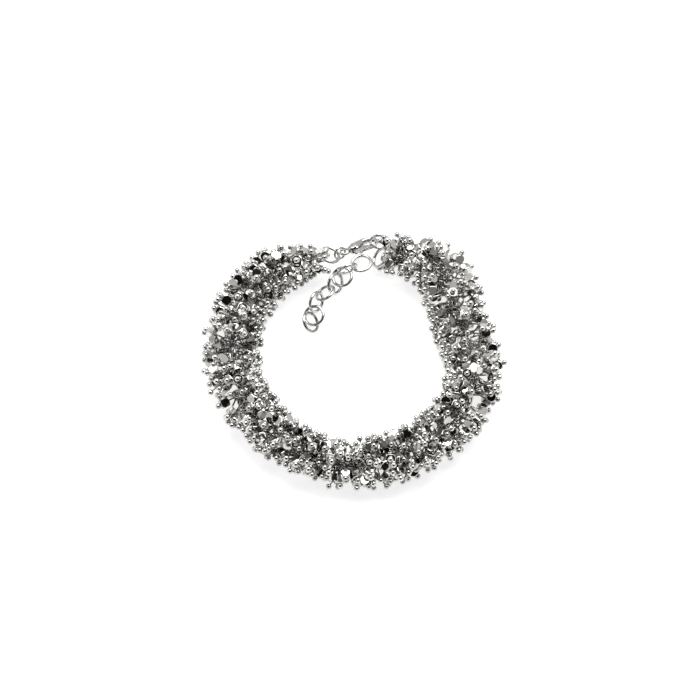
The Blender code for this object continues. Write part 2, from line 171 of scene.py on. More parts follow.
def node(tree, kind, settings=None, values=None, output=0):
    """A new node with its settings first, then the values or links of its sockets."""
    made = tree.nodes.new(kind)
    for name, value in (settings or {}).items():
        setattr(made, name, value)
    for name, value in (values or {}).items():
        if isinstance(value, Shade):
            tree.links.new(value.socket, made.inputs[name])
        else:
            made.inputs[name].default_value = value
    return Shade(tree, made.outputs[output])


# Materials


# Colour range, roughness and its spread from bead to bead, and how many grains to a metre
Finish = namedtuple("Finish", "name bright dark roughness spread grain")
BEAD_SILVER = Finish("bead_silver", (0.74, 0.73, 0.71), (0.32, 0.315, 0.30), 0.05, 0.08, 2600.0)
WIRE_SILVER = Finish("wire_silver", (0.60, 0.59, 0.575), (0.25, 0.245, 0.235), 0.10, 0.12, 3400.0)
CAST_SILVER = Finish("cast_silver", (0.62, 0.615, 0.60), (0.36, 0.355, 0.345), 0.08, 0.06, 1800.0)
SHADE_WEIGHT = 0.65
HAZE_WEIGHT = 0.5
TONE_LIFT = 0.2
HAZE_SCALE = 420.0
HAZE_MIDDLE = 0.42
HAZE_ROUGHNESS = 0.16
GRAIN_DEPTH = 0.00003
GRAIN_STRENGTH = 0.12
PAPER_GREYS = (0.48, 0.52)
PAPER_GLOW = 0.74


def silver(finish):
    """Polished silver plating: fine wear, a faint haze and a shade of its own for each bead."""
    made = bpy.data.materials.new(finish.name)
    made.use_nodes = True
    tree = made.node_tree
    shader = tree.nodes["Principled BSDF"]
    shader.inputs["Metallic"].default_value = 1.0
    place = node(tree, "ShaderNodeTexCoord", output=3)
    own = node(tree, "ShaderNodeAttribute", {"attribute_name": "shade"}, output=2)
    haze = node(tree, "ShaderNodeTexNoise", None, {"Vector": place, "Scale": HAZE_SCALE, "Detail": 4.0})
    grain = {"Vector": place, "Scale": finish.grain, "Detail": 6.0}
    fine = node(tree, "ShaderNodeTexNoise", None, grain)
    tone = SHADE_WEIGHT * own + HAZE_WEIGHT * (haze - 0.5) + TONE_LIFT
    colour = node(
        tree,
        "ShaderNodeMix",
        {"data_type": "RGBA"},
        {"Factor": tone, 6: (*finish.dark, 1), 7: (*finish.bright, 1)},
        output=2,
    )
    rough = finish.roughness + finish.spread * own + HAZE_ROUGHNESS * (haze - HAZE_MIDDLE)
    bump = node(
        tree,
        "ShaderNodeBump",
        None,
        {"Strength": GRAIN_STRENGTH, "Distance": GRAIN_DEPTH, "Height": fine},
    )
    tree.links.new(colour.socket, shader.inputs["Base Color"])
    tree.links.new(rough.socket, shader.inputs["Roughness"])
    tree.links.new(bump.socket, shader.inputs["Normal"])
    return made


def paper_white():
    """White paper lit from below as well, so that the shadow on it stays faint."""
    made = bpy.data.materials.new("white_surface")
    made.use_nodes = True
    tree = made.node_tree
    shader = tree.nodes["Principled BSDF"]
    place = node(tree, "ShaderNodeTexCoord", output=3)
    fibre = node(tree, "ShaderNodeTexNoise", None, {"Vector": place, "Scale": 60.0, "Detail": 5.0})
    colour = node(
        tree,
        "ShaderNodeMix",
        {"data_type": "RGBA"},
        {"Factor": fibre, 6: (*[PAPER_GREYS[0]] * 3, 1), 7: (*[PAPER_GREYS[1]] * 3, 1)},
        output=2,
    )
    shader.inputs["Roughness"].default_value = 0.9
    shader.inputs["Emission Color"].default_value = (1, 1, 1, 1)
    shader.inputs["Emission Strength"].default_value = PAPER_GLOW
    tree.links.new(colour.socket, shader.inputs["Base Color"])
    return made


# The route of the band

# From the clasp end round the front to the extension end, as shares of the loop's half
# width and half depth
ROUTE = (
    (-0.258, 0.900),
    (-0.655, 0.755),
    (-0.925, 0.390),
    (-0.993, -0.045),
    (-0.856, -0.465),
    (-0.510, -0.842),
    (-0.017, -1.010),
    (0.477, -0.898),
    (0.862, -0.551),
    (1.003, -0.132),
    (0.872, 0.327),
    (0.740, 0.765),
    (0.430, 0.915),
)
# Where the modelled band sits from the loop's own middle
BAND_SHIFT = Vector((0.00034, 0.00079, 0))
# How the band swells along its length
SWELL_ALONG = (0.00, 0.04, 0.08, 0.20, 0.34, 0.42, 0.50, 0.62, 0.74, 0.88, 0.94, 1.00)
SWELL_TIP = (0.54, 0.76, 0.96, 1.04, 0.92, 0.88, 0.94, 0.97, 1.04, 1.05, 0.94, 0.68)
# Length at each end over which the pins splay outwards
END_SPLAY = 0.0055


class Path:
    """A smooth open curve through points, measured along its length."""

    def __init__(self, points, steps=24):
        points = [np.array(point) for point in points]
        knots = [2 * points[0] - points[1], *points, 2 * points[-1] - points[-2]]
        found = []
        for a, b, c, d in zip(knots, knots[1:], knots[2:], knots[3:]):
            for step in range(steps):
                t = step / steps
                bend = (2 * a - 5 * b + 4 * c - d) * t * t + (3 * b - a - 3 * c + d) * t**3
                found.append(b + ((c - a) * t + bend) / 2)
        found.append(points[-1])
        self.points = np.array(found)
        spans = np.linalg.norm(np.diff(self.points, axis=0), axis=1)
        self.lengths = np.concatenate([[0], np.cumsum(spans)])
        self.length = float(self.lengths[-1])

    def at(self, distance):
        axes = [np.interp(distance, self.lengths, self.points[:, axis]) for axis in range(3)]
        return np.stack(axes, axis=-1)

    def heading(self, distance):
        step = self.length / 200
        ahead = self.at(np.minimum(distance + step, self.length))
        run = ahead - self.at(np.maximum(distance - step, 0))
        return run / np.linalg.norm(run, axis=-1, keepdims=True)


def tip_radius(share):
    return TIP_RADIUS * np.interp(share, SWELL_ALONG, SWELL_TIP)


# Laying out the pins


def unit(vectors):
    return vectors / np.linalg.norm(vectors, axis=-1, keepdims=True)


def push_apart(centres, radii, owners):
    """How far each sphere moves to clear its neighbours, added up for its owner."""
    moves = np.zeros((owners.max() + 1, 3))
    offsets = centres[:, None] - centres[None]
    spans = np.linalg.norm(offsets, axis=2)
    reach = radii[:, None] + radii[None]
    meet = (spans < reach) & (owners[:, None] != owners[None])
    first, second = np.nonzero(meet)
    span = np.maximum(spans[first, second], 1e-7)
    depth = (reach[first, second] - span) * PUSH_SHARE
    np.add.at(moves, owners[first], offsets[first, second] / span[:, None] * depth[:, None])
    return moves


def lay_out_pins(path, start, end, obstacles, seed):
    """Root, tip and kind of each pin of one half, settled so that beads don't run into each other."""
    rng = np.random.default_rng(seed)
    count = PINS_PER_HALF
    along = start + (end - start) * (np.arange(count) + rng.uniform(0, 1, count)) / count
    middle = path.at(along)
    heading = path.heading(along)
    side = unit(np.cross([0, 0, 1.0], heading))
    rise = np.cross(heading, side)
    reach = tip_radius(along / path.length)
    # Most pins fall to the two sides, so the wire shows along the top
    turn = rng.uniform(0, 2 * math.pi, count)
    turn -= PULL_TO_SIDES * np.sin(2 * turn)
    holds = rng.uniform(0, 1, count) < NUGGET_SHARE
    size = reach * np.where(
        holds, rng.uniform(*NUGGET_PIN_REACH, count), rng.uniform(*PIN_REACH, count)
    )
    out = np.cos(turn) * size
    up = TIP_HEIGHT_SHARE * np.sin(turn) * size
    lean = rng.normal(0, LEAN_SPREAD, count) * size
    # At the band's two ends the pins splay out past it
    before_end = np.maximum(0, 1 - (path.length - along) / END_SPLAY)
    after_start = np.maximum(0, 1 - along / END_SPLAY)
    lean += END_LEAN * (before_end - after_start) * size
    tips = middle + side * out[:, None] + rise * up[:, None] + heading * lean[:, None]
    # Eyes pile up round the chain, so a high pin lies flatter than its place alone would have it
    root_out = ROOT_OUT_SHARE * out + rng.normal(0, ROOT_OUT_SPREAD, count)
    root_up = ROOT_UP_SHARE * up + rng.normal(0, ROOT_UP_SPREAD, count)
    roots = middle + side * root_out[:, None] + rise * root_up[:, None]
    lengths = np.clip(np.linalg.norm(tips - roots, axis=1), SHORTEST_PIN, LONGEST_PIN)

    owners = np.concatenate(
        [np.arange(count), np.flatnonzero(holds), np.full(len(obstacles), count)]
    )
    radii = np.repeat(
        [BALL_KEEP_OUT, NUGGET_KEEP_OUT, RING_KEEP_OUT], [count, holds.sum(), len(obstacles)]
    )
    for _ in range(SETTLING_STEPS):
        outward = unit(tips - roots)
        tips = roots + outward * lengths[:, None]
        nuggets = tips - outward * NUGGET_BEHIND_BALL
        centres = np.concatenate([tips, nuggets[holds], obstacles])
        tips = tips + push_apart(centres, radii, owners)[:count]
        # Back inside the band's oval, and up off the surface
        inward = middle - tips
        inward -= heading * (inward * heading).sum(axis=1)[:, None]
        across = (inward * side).sum(axis=1)
        upward = (inward * rise).sum(axis=1) / TIP_HEIGHT_SHARE
        stretch = np.maximum(np.hypot(across, upward) / (reach - BALL_RADIUS), 1)
        tips += inward * (1 - 1 / stretch)[:, None]
        tips[:, 2] = np.maximum(tips[:, 2], BALL_RADIUS)
        nuggets = tips - unit(tips - roots) * NUGGET_BEHIND_BALL
        low = LOWEST_NUGGET_CENTRE - nuggets[:, 2]
        tips[:, 2] += np.where(holds, np.maximum(0, low), 0)
    return roots, tips, holds, rng.uniform(0, 1, count), rng.uniform(0, 2 * math.pi, count)


# Geometry Nodes


class Grower:
    """A geometry node tree with named inputs, ending in realised instances."""

    def __init__(self, name, inputs):
        self.tree = bpy.data.node_groups.new(name, "GeometryNodeTree")
        sockets = self.tree.interface
        sockets.new_socket("Geometry", in_out="INPUT", socket_type="NodeSocketGeometry")
        self.names = {}
        for title, value in inputs.items():
            kind = "NodeSocketObject" if isinstance(value, bpy.types.Object) else "NodeSocketFloat"
            if isinstance(value, bpy.types.Material):
                kind = "NodeSocketMaterial"
            made = sockets.new_socket(title, in_out="INPUT", socket_type=kind)
            self.names[title] = (made.identifier, value)
        sockets.new_socket("Geometry", in_out="OUTPUT", socket_type="NodeSocketGeometry")
        self.start = self.tree.nodes.new("NodeGroupInput")

    def given(self, title):
        return Shade(self.tree, self.start.outputs[title])

    def add(self, kind, settings=None, values=None, output=0):
        return node(self.tree, kind, settings, values, output)

    def finish(self, geometry, material):
        whole = self.add("GeometryNodeRealizeInstances", None, {0: geometry})
        dressed = self.add("GeometryNodeSetMaterial", None, {0: whole, "Material": material})
        end = self.tree.nodes.new("NodeGroupOutput")
        self.tree.links.new(dressed.socket, end.inputs[0])

    def grow(self, name, marks):
        """The tree run on the marks, as a plain mesh object with nothing left on it."""
        holder = bpy.data.objects.new(name + "_marks", marks)
        bpy.context.scene.collection.objects.link(holder)
        step = holder.modifiers.new("grow", "NODES")
        step.node_group = self.tree
        for identifier, value in self.names.values():
            step[identifier] = value
        graph = bpy.context.evaluated_depsgraph_get()
        mesh = bpy.data.meshes.new_from_object(holder.evaluated_get(graph))
        bpy.data.objects.remove(holder)
        for leftover in ("turn", "stretch"):
            if leftover in mesh.attributes:
                mesh.attributes.remove(mesh.attributes[leftover])
        made = bpy.data.objects.new(name, mesh)
        mesh.name = name
        bpy.context.scene.collection.objects.link(made)
        return made


def marks_mesh(places, turns, stretches, shades):
    """Points with the turn, size and shade of what grows on each."""
    mesh = bpy.data.meshes.new("marks")
    mesh.from_pydata([tuple(place) for place in places], [], [])
    turn = mesh.attributes.new("turn", "QUATERNION", "POINT")
    turn.data.foreach_set("value", np.array([tuple(t) for t in turns], np.float32).ravel())
    stretch = mesh.attributes.new("stretch", "FLOAT_VECTOR", "POINT")
    stretch.data.foreach_set("vector", np.array(stretches, np.float32).ravel())
    shade = mesh.attributes.new("shade", "FLOAT", "POINT")
    shade.data.foreach_set("value", np.array(shades, np.float32))
    return mesh


def on_marks(grower, shape):
    turn = grower.add(
        "GeometryNodeInputNamedAttribute", {"data_type": "QUATERNION"}, {"Name": "turn"}
    )
    stretch = grower.add(
        "GeometryNodeInputNamedAttribute", {"data_type": "FLOAT_VECTOR"}, {"Name": "stretch"}
    )
    return grower.add(
        "GeometryNodeInstanceOnPoints",
        None,
        {
            "Points": grower.given("Geometry"),
            "Instance": shape,
            "Rotation": turn,
            "Scale": stretch,
        },
    )


def smooth(grower, shape):
    return grower.add("GeometryNodeSetShadeSmooth", None, {0: shape})


def ball_tree(material):
    grower = Grower("ball_tips", {"Ball radius": BALL_RADIUS, "Silver": material})
    ball = grower.add(
        "GeometryNodeMeshIcoSphere", None, {"Radius": grower.given("Ball radius"), "Subdivisions": 2}
    )
    grower.finish(on_marks(grower, smooth(grower, ball)), grower.given("Silver"))
    return grower


def stem_tree(material):
    """Straight wire one metre long before it is stretched along its own axis."""
    grower = Grower("pin_stems", {"Wire radius": WIRE_RADIUS, "Silver": material})
    stem = grower.add(
        "GeometryNodeMeshCylinder",
        {"fill_type": "NGON"},
        {"Vertices": 7, "Radius": grower.given("Wire radius"), "Depth": 1.0},
    )
    raised = grower.add(
        "GeometryNodeTransform", None, {"Geometry": smooth(grower, stem), "Translation": (0, 0, 0.5)}
    )
    grower.finish(on_marks(grower, raised), grower.given("Silver"))
    return grower


def wire_loop_tree(name, material, radius, wire, length_share, around, sides):
    """A closed wire loop standing in its own XZ plane, round or drawn out along Z."""
    grower = Grower(
        name,
        {"Loop radius": radius, "Wire radius": wire, "Length share": length_share, "Silver": material},
    )
    path = grower.add(
        "GeometryNodeCurvePrimitiveCircle",
        {"mode": "RADIUS"},
        {"Resolution": around, "Radius": grower.given("Loop radius")},
    )
    scale = grower.add(
        "ShaderNodeCombineXYZ", None, {"X": 1.0, "Y": grower.given("Length share"), "Z": 1.0}
    )
    drawn = grower.add(
        "GeometryNodeTransform",
        None,
        {"Geometry": path, "Scale": scale, "Rotation": (math.pi / 2, 0, 0)},
    )
    section = grower.add(
        "GeometryNodeCurvePrimitiveCircle",
        {"mode": "RADIUS"},
        {"Resolution": sides, "Radius": grower.given("Wire radius")},
    )
    wire_mesh = grower.add(
        "GeometryNodeCurveToMesh", None, {"Curve": drawn, "Profile Curve": section}
    )
    grower.finish(on_marks(grower, smooth(grower, wire_mesh)), grower.given("Silver"))
    return grower


def nugget_tree(material, pattern):
    grower = Grower("nugget_beads", {"Bead": pattern, "Silver": material})
    bead = grower.add("GeometryNodeObjectInfo", None, {"Object": grower.given("Bead")}, output=4)
    grower.finish(on_marks(grower, bead), grower.given("Silver"))
    return grower


def nugget_pattern():
    """A cube bead with its corners cut off and its edges softened."""
    shape = bmesh.new()
    bmesh.ops.create_cube(shape, size=NUGGET_WIDTH)
    bmesh.ops.bevel(
        shape,
        geom=list(shape.verts),
        offset=NUGGET_CORNER_CUT,
        affect="VERTICES",
        segments=1,
        profile=0.5,
    )
    bmesh.ops.bevel(
        shape,
        geom=list(shape.edges),
        offset=NUGGET_SOFT_EDGE,
        affect="EDGES",
        segments=1,
        profile=0.5,
    )
    bmesh.ops.recalc_face_normals(shape, faces=shape.faces)
    mesh = bpy.data.meshes.new("nugget_pattern")
    shape.to_mesh(mesh)
    shape.free()
    made = bpy.data.objects.new("nugget_pattern", mesh)
    bpy.context.scene.collection.objects.link(made)
    return made


def turned_to(direction, roll):
    """The turn that points Z along a direction, rolled about it."""
    return Vector(direction).to_track_quat("Z", "X") @ Quaternion((0, 0, 1), roll)


def finish_piece(piece, slot_name, body, *nodes):
    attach(piece, body)
    if nodes:
        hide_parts(*nodes)
    return piece


def grow_half(name, packed, path, start, end, obstacles, seed, trees):
    roots, tips, kinds, shades, rolls = lay_out_pins(path, start, end, obstacles, seed)
    outward = unit(tips - roots)
    lengths = np.linalg.norm(tips - roots, axis=1)
    turns = [turned_to(line, roll) for line, roll in zip(outward, rolls)]
    even = np.ones((len(roots), 3))
    sizes = even * (SMALLEST_SIZE + SIZE_RANGE * shades)[:, None]
    balls = trees["ball"].grow(name + "_ball_tips", marks_mesh(tips, turns, sizes, shades))
    stem_scale = even.copy()
    stem_scale[:, 2] = lengths - EYE_RADIUS
    starts = roots + outward * EYE_RADIUS
    stems = trees["stem"].grow(name + "_pin_stems", marks_mesh(starts, turns, stem_scale, shades))
    eyes = trees["eye"].grow(name + "_pin_eyes", marks_mesh(roots, turns, even, shades))
    places = (tips - outward * NUGGET_BEHIND_BALL)[kinds]
    some_turns = [turn for turn, kind in zip(turns, kinds) if kind]
    nuggets = trees["nugget"].grow(
        name + "_nugget_beads", marks_mesh(places, some_turns, sizes[kinds], shades[kinds])
    )
    for piece in (balls, stems, eyes, nuggets):
        finish_piece(piece, "silver_beads", "bracelet", packed)


def grow_core_chain(path, tree):
    """Oval links along the route, each a quarter turn from the one before."""
    count = int((path.length - CHAIN_END_MARGIN) / LINK_PITCH)
    along = FIRST_LINK_AFTER_START + np.arange(count) * LINK_PITCH
    turns = []
    for index, line in enumerate(path.heading(along)):
        turns.append(turned_to(line, index * math.pi / 2 + FIRST_LINK_ROLL))
    shades = np.linspace(0, 1, count) * SHADE_CYCLES % 1
    return tree.grow("core_chain", marks_mesh(path.at(along), turns, np.ones((count, 3)), shades))


# Rings

RINGS = ["end_ring_left", "clasp_link", "catch_ring", "end_ring_right"]
RINGS += [f"extension_ring_{number}" for number in range(1, 9)]


def ring_of(name):
    """Centre, normal, radius and wire radius of a packed ring, read from its mesh."""
    corners = np.array([vertex.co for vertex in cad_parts[name].data.vertices])
    centre = (corners.max(axis=0) + corners.min(axis=0)) / 2
    _, _, axes = np.linalg.svd(corners - corners.mean(axis=0), full_matrices=False)
    normal = axes[2]
    height = (corners - centre) @ normal
    reach = np.linalg.norm(corners - centre - np.outer(height, normal), axis=1)
    wire = (reach.max() - reach.min()) / 2
    return Vector(centre), Vector(normal), (reach.max() + reach.min()) / 2, wire


def ring_points(name, count=24):
    """Points along the middle of a packed ring's wire."""
    centre, normal, radius, _ = ring_of(name)
    first = normal.orthogonal().normalized()
    second = normal.cross(first)
    turns = np.linspace(0, 2 * math.pi, count, endpoint=False)[:, None]
    round_it = np.cos(turns) * np.array(first) + np.sin(turns) * np.array(second)
    return np.array(centre) + radius * round_it


def add_ring(name, circle, material, seam_turn, *replaced):
    """A jump ring of round wire, bent shut with a hair's width between its square-cut ends."""
    centre, normal, radius, wire = circle
    shape = bmesh.new()
    seam = math.radians(RING_SEAM)
    sections = []
    for step in range(RING_SECTIONS + 1):
        turn = seam / 2 + (2 * math.pi - seam) * step / RING_SECTIONS
        out = Vector((math.cos(turn), math.sin(turn), 0))
        section = []
        for side in range(RING_SIDES):
            dip = 2 * math.pi * side / RING_SIDES
            reach = radius + wire * math.cos(dip)
            section.append(shape.verts.new(out * reach + UP * wire * math.sin(dip)))
        sections.append(section)
    for before, after in zip(sections, sections[1:]):
        for side in range(RING_SIDES):
            following = (side + 1) % RING_SIDES
            shape.faces.new((before[side], before[following], after[following], after[side]))
    shape.faces.new(sections[0])
    shape.faces.new(reversed(sections[-1]))
    bmesh.ops.recalc_face_normals(shape, faces=shape.faces)
    turn = normal.to_track_quat("Z", "X") @ Quaternion((0, 0, 1), seam_turn)
    shape.transform(Matrix.Translation(centre) @ turn.to_matrix().to_4x4())
    finish_piece(cast_piece(name + "_wire", shape, material), "bright_silver", "bracelet", *replaced)


def cast_piece(name, shape, material):
    """A bmesh as an object with its round stretches smooth and one shade of its own."""
    bmesh.ops.recalc_face_normals(shape, faces=shape.faces)
    mesh = bpy.data.meshes.new(name)
    shape.to_mesh(mesh)
    shape.free()
    mesh.shade_smooth()
    mesh.set_sharp_from_angle(angle=SHARP_ANGLE)
    mesh.materials.append(material)
    own = mesh.attributes.new("shade", "FLOAT", "POINT")
    own.data.foreach_set("value", np.full(len(mesh.vertices), CAST_SHADE, np.float32))
    piece = bpy.data.objects.new(name, mesh)
    bpy.context.scene.collection.objects.link(piece)
    return piece


def end_loops(band):
    """The last wire loop at each end of the core chain, which a jump ring passes through."""
    wire = END_LOOP_WIRE / 2
    radius = END_LOOP_DIAMETER / 2 - wire
    left_way = (band[0] - band[1]).normalized()
    left = (band[0], rolled_normal(left_way, LEFT_LOOP_ROLL), radius, wire)
    ring_centre, _, ring_radius, _ = ring_of("end_ring_right")
    turn, rise = math.radians(RIGHT_LOOP_TURN), math.radians(RIGHT_LOOP_RISE)
    way = Vector((math.cos(rise) * math.cos(turn), math.cos(rise) * math.sin(turn), math.sin(rise)))
    right = (ring_centre + way * ring_radius, rolled_normal(way, RIGHT_LOOP_ROLL), radius, wire)
    return left, right


def rolled_normal(heading, roll):
    """The normal of a ring whose plane holds the heading, rolled from flat by an angle."""
    side = UP.cross(heading).normalized()
    flat = heading.cross(side).normalized()
    return flat * math.cos(math.radians(roll)) + side * math.sin(math.radians(roll))


# Lobster clasp

# Middle line of the claw from behind its eye, over the back and round the nose to the tip:
# place along and across as shares of the clasp's length, width as a share of HOOK_ARM_WIDTH
CLAW = (
    (0.12, 0.00, 1.30),
    (0.20, 0.00, 2.10),
    (0.30, 0.02, 2.80),
    (0.42, 0.08, 2.30),
    (0.56, 0.15, 1.50),
    (0.72, 0.16, 1.20),
    (0.86, 0.11, 1.00),
    (0.93, 0.01, 1.00),
    (0.92, -0.08, 0.90),
    (0.88, -0.14, 0.75),
)
PIVOT = (0.30, -0.06)
LEVER_TIP = (0.80, -0.19)
THUMB_TAB = (0.40, -0.24)
TAB_RIDGES = (-130, -95, -60, -25)
RIDGE_RADIUS = 0.00011
RIVET_HEAD_RADIUS = 0.00052
RIVET_HEAD_HEIGHT = 0.00016
SOFT_EDGE = 0.0001
SLOT_REACH = 0.3
BORE_RADIUS = RIVET_RADIUS + RIVET_CLEARANCE
CUT_DEPTH = CLASP_THICKNESS * 2
PIN_SIDES = 24
# How strongly the round claw is pressed flat
CLAW_PRESS = 1.6


def in_clasp(share):
    return Vector((share[0] * CLASP_LENGTH, share[1] * CLASP_LENGTH, 0))


def clasp_place():
    """From the clasp's own axes, with its eye at the origin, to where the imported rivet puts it."""
    corners = np.array([vertex.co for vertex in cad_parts["clasp_rivet"].data.vertices])
    heading = Matrix.Rotation(math.radians(CLASP_HEADING), 4, "Z")
    turned = heading @ Matrix.Rotation(math.radians(CLASP_LEAN), 4, "X")
    pivot = Vector((corners.max(axis=0) + corners.min(axis=0)) / 2)
    return Matrix.Translation(pivot - turned @ in_clasp(PIVOT)) @ turned


def curve_mesh(curve):
    """A curve as a closed bmesh."""
    drawn = bpy.data.objects.new(curve.name, curve)
    bpy.context.scene.collection.objects.link(drawn)
    graph = bpy.context.evaluated_depsgraph_get()
    mesh = bpy.data.meshes.new_from_object(drawn.evaluated_get(graph))
    bpy.data.objects.remove(drawn)
    shape = bmesh.new()
    shape.from_mesh(mesh)
    bmesh.ops.remove_doubles(shape, verts=shape.verts, dist=1e-6)
    bpy.data.meshes.remove(mesh)
    return shape


def claw_shape():
    """The claw as a tapering tube, pressed flat with rounded edges."""
    curve = bpy.data.curves.new("claw", "CURVE")
    curve.dimensions = "3D"
    curve.bevel_depth = HOOK_ARM_WIDTH / 2
    curve.bevel_resolution = 6
    curve.resolution_u = 10
    curve.use_fill_caps = True
    spline = curve.splines.new("BEZIER")
    spline.bezier_points.add(len(CLAW) - 1)
    for knot, (along, across, width) in zip(spline.bezier_points, CLAW):
        knot.co = in_clasp((along, across))
        knot.radius = width
        knot.handle_left_type = knot.handle_right_type = "AUTO"
    shape = curve_mesh(curve)
    half = CLASP_THICKNESS / 2
    for corner in shape.verts:
        corner.co.z = half * math.tanh(CLAW_PRESS * corner.co.z / half)
    return shape


def plate_shape(outline, thickness):
    """A flat plate with the outline and softened edges."""
    curve = bpy.data.curves.new("plate", "CURVE")
    curve.dimensions = "2D"
    curve.fill_mode = "BOTH"
    curve.extrude = thickness / 2 - SOFT_EDGE
    curve.bevel_depth = SOFT_EDGE
    curve.bevel_resolution = 2
    curve.offset = -SOFT_EDGE
    spline = curve.splines.new("POLY")
    spline.points.add(len(outline) - 1)
    for knot, point in zip(spline.points, outline):
        knot.co = (point[0], point[1], 0, 1)
    spline.use_cyclic_u = True
    return curve_mesh(curve)


def lever_outline():
    """Round the boss on the rivet, round the thumb tab and out to a blunt tip."""
    pivot, tip, tab = in_clasp(PIVOT), in_clasp(LEVER_TIP), in_clasp(THUMB_TAB)
    half = LEVER_WIDTH / 2
    boss = BORE_RADIUS + half * 0.9
    outline = []
    for turn in np.radians(np.linspace(60, 240, 17)):
        outline.append(pivot + Vector((math.cos(turn), math.sin(turn), 0)) * boss)
    for turn in np.radians(np.linspace(-170, 10, 13)):
        outline.append(tab + Vector((math.cos(turn), math.sin(turn), 0)) * half)
    outline.append(tip + Vector((0, -half, 0)))
    outline.append(tip + Vector((half * 0.4, 0, 0)))
    outline.append(tip + Vector((0, half * 0.8, 0)))
    return outline


def add_cylinder(shape, centre, radius, depth, segments):
    bmesh.ops.create_cone(
        shape,
        cap_ends=True,
        segments=segments,
        radius1=radius,
        radius2=radius,
        depth=depth,
        matrix=Matrix.Translation(centre),
    )


def joined(piece, cutters, operation):
    """The piece with each cutter's Boolean applied; the cutters are used up."""
    for cutter in cutters:
        step = piece.modifiers.new(cutter.name, "BOOLEAN")
        step.operation = operation
        step.solver = "EXACT"
        step.object = cutter
    graph = bpy.context.evaluated_depsgraph_get()
    mesh = bpy.data.meshes.new_from_object(piece.evaluated_get(graph))
    piece.modifiers.clear()
    piece.data = mesh
    for cutter in cutters:
        bpy.data.objects.remove(cutter)


def cutter_from(name, fill):
    shape = bmesh.new()
    fill(shape)
    return cast_piece(name, shape, None)


def eye_shape():
    """The eye as a ring of metal that is a little higher than it is wide."""
    bpy.ops.mesh.primitive_torus_add(
        major_segments=40,
        minor_segments=14,
        major_radius=EYE_HOLE_RADIUS + EYE_WALL / 2,
        minor_radius=EYE_WALL / 2,
    )
    torus = bpy.context.object
    shape = bmesh.new()
    shape.from_mesh(torus.data)
    bpy.data.meshes.remove(torus.data)
    shape.transform(Matrix.Diagonal((1, 1, EYE_HEIGHT / EYE_WALL, 1)))
    return shape


def cast_body(material):
    """Claw and eye in one, with the eye's hole, the lever's slot and the rivet's bore cut out."""
    body = cast_piece("clasp_cast_body", claw_shape(), material)
    joined(body, [cast_piece("eye", eye_shape(), material)], "UNION")
    pivot = in_clasp(PIVOT)
    slot_half = LEVER_THICKNESS / 2 + LEVER_CLEARANCE
    boss = BORE_RADIUS + LEVER_WIDTH / 2 + LEVER_CLEARANCE
    low = pivot + Vector((-boss, -CLASP_LENGTH / 3, -slot_half))
    high = pivot + Vector((CLASP_LENGTH * SLOT_REACH, boss, slot_half))
    slot = Matrix.Translation((low + high) / 2) @ Matrix.Diagonal((*(high - low), 1))
    cutters = [
        cutter_from(
            "eye_hole", lambda shape: add_cylinder(shape, Vector(), EYE_HOLE_RADIUS, CUT_DEPTH, 40)
        ),
        cutter_from("slot", lambda shape: bmesh.ops.create_cube(shape, size=1, matrix=slot)),
        cutter_from(
            "bore", lambda shape: add_cylinder(shape, pivot, BORE_RADIUS, CUT_DEPTH, PIN_SIDES)
        ),
    ]
    joined(body, cutters, "DIFFERENCE")
    return body


def cast_lever(material):
    """The sprung lever: a bored plate with ridges across its thumb tab."""
    lever = cast_piece("clasp_cast_lever", plate_shape(lever_outline(), LEVER_THICKNESS), material)
    bore = cutter_from(
        "lever_bore",
        lambda shape: add_cylinder(shape, in_clasp(PIVOT), BORE_RADIUS, CUT_DEPTH, PIN_SIDES),
    )
    joined(lever, [bore], "DIFFERENCE")
    ridged = bmesh.new()
    ridged.from_mesh(lever.data)
    for turn in np.radians(TAB_RIDGES):
        edge = Vector((math.cos(turn), math.sin(turn), 0)) * LEVER_WIDTH / 2
        centre = in_clasp(THUMB_TAB) + edge
        add_cylinder(ridged, centre, RIDGE_RADIUS, LEVER_THICKNESS - 2 * SOFT_EDGE, 8)
    ridged.to_mesh(lever.data)
    ridged.free()
    return lever


def rivet_heads(material):
    """The rivet's pin with a low dome on either side of the claw."""
    pivot = in_clasp(PIVOT)
    pin = bmesh.new()
    add_cylinder(pin, pivot, RIVET_RADIUS, CLASP_THICKNESS, PIN_SIDES)
    flat = Matrix.Diagonal((1, 1, RIVET_HEAD_HEIGHT / RIVET_HEAD_RADIUS, 1))
    for side in (-1, 1):
        head = pivot + UP * side * CLASP_THICKNESS / 2
        bmesh.ops.create_uvsphere(
            pin,
            u_segments=PIN_SIDES,
            v_segments=12,
            radius=RIVET_HEAD_RADIUS,
            matrix=Matrix.Translation(head) @ flat,
        )
    return cast_piece("clasp_rivet_heads", pin, material)


def add_clasp(material):
    place = clasp_place()
    for piece, body_name, packed in (
        (cast_body(material), "bracelet", "clasp_body"),
        (cast_lever(material), "clasp_lever", "clasp_lever"),
        (rivet_heads(material), "bracelet", "clasp_rivet"),
    ):
        piece.data.transform(place)
        piece.data.shade_smooth()
        piece.data.set_sharp_from_angle(angle=SHARP_ANGLE)
        finish_piece(piece, "bright_silver", body_name, packed)


# Stage

# The dark room shows over the front of the tent, towards this way
ROOM_WAY = Vector((0, -0.5, 0.87))
ROOM_EDGE = (0.55, 0.85)
ROOM_DARK = (0.008, 0.008, 0.008)
TENT_WHITE = (0.74, 0.74, 0.74)
FLOOR_HALF_WIDTH = 3.0
Softbox = namedtuple("Softbox", "name place size power")
SOFTBOXES = (
    Softbox("softbox_back", (0.12, 0.45, 1.00), (1.20, 0.80), 16),
    Softbox("softbox_left", (-0.95, 0.05, 0.60), (0.25, 0.80), 1.5),
)
CAMERA_AIM = Vector((-0.0003, 0.0016, 0.006))
CAMERA_ELEVATION = math.radians(60)
CAMERA_DISTANCE = 1.6
CAMERA_LENS = 336.0


